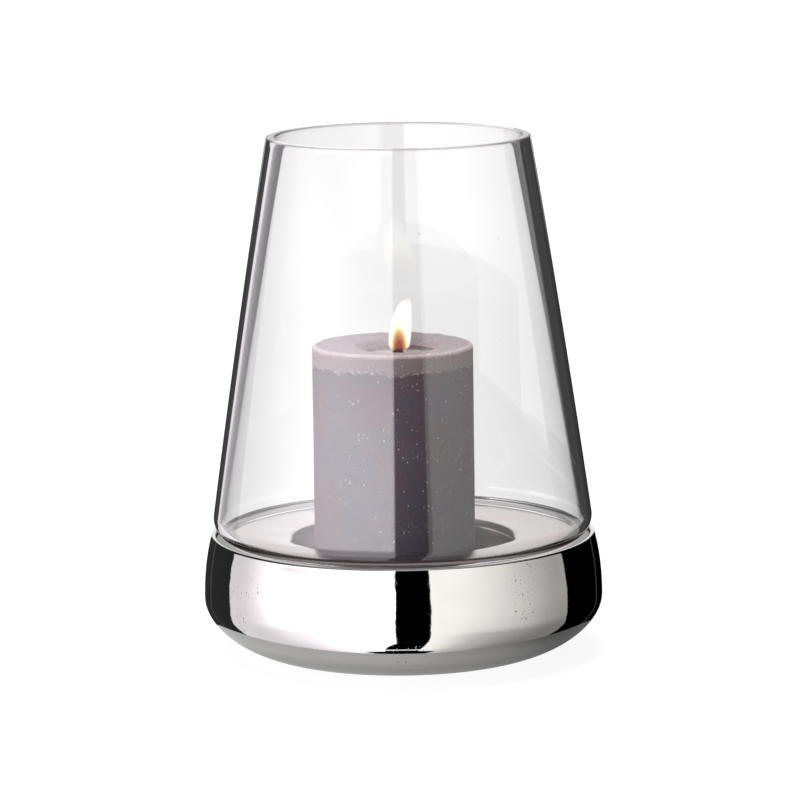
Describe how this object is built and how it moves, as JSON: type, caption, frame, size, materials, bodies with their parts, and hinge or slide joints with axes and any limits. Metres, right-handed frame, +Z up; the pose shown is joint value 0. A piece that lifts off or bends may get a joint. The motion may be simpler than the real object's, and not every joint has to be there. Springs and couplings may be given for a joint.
{
  "type": "hurricane candle holder",
  "caption": "Hurricane candle holder: a polished round metal base with a sunk tray, a thick tapered clear glass shade standing in its rim, and a pillar candle.",
  "frame": {"origin": "on the table, under the axis of the base", "axes": "+Z up the axis of the base and shade; front towards -Y; the candle stands 4 mm off the axis towards -X"},
  "size_m": [0.199, 0.199, 0.2585],
  "materials": {
    "plated_metal": "cast metal, nickel plated and mirror polished, with small casting pits",
    "pad_felt": "dark self-adhesive felt",
    "clear_glass": "clear blown glass with a cut and polished top edge",
    "candle_wax": "grey-mauve paraffin wax with frosted white crystals",
    "melted_wax": "melted wax, wet and clear",
    "burnt_wick": "braided cotton, charred at the top",
    "tinplate": "thin tinned sheet",
    "flame": "glowing candle flame, seen only"
  },
  "bodies": {
    "base": {"base_shell": "plated_metal", "candle_tray": "plated_metal", "felt_pad_1": "pad_felt", "felt_pad_2": "pad_felt", "felt_pad_3": "pad_felt", "felt_pad_4": "pad_felt"},
    "shade": {"glass_shade": "clear_glass"},
    "candle": {"pillar_candle": "candle_wax", "wick": "burnt_wick", "wick_disc": "tinplate"}
  },
  "joints": [
    {"name": "shade_lift", "type": "slide", "parent": "base", "child": "shade", "axis": [0, 0, 1], "range_m": [0, 0.22]},
    {"name": "candle_lift", "type": "slide", "parent": "base", "child": "candle", "axis": [0, 0, 1], "range_m": [0, 0.24]}
  ]
}
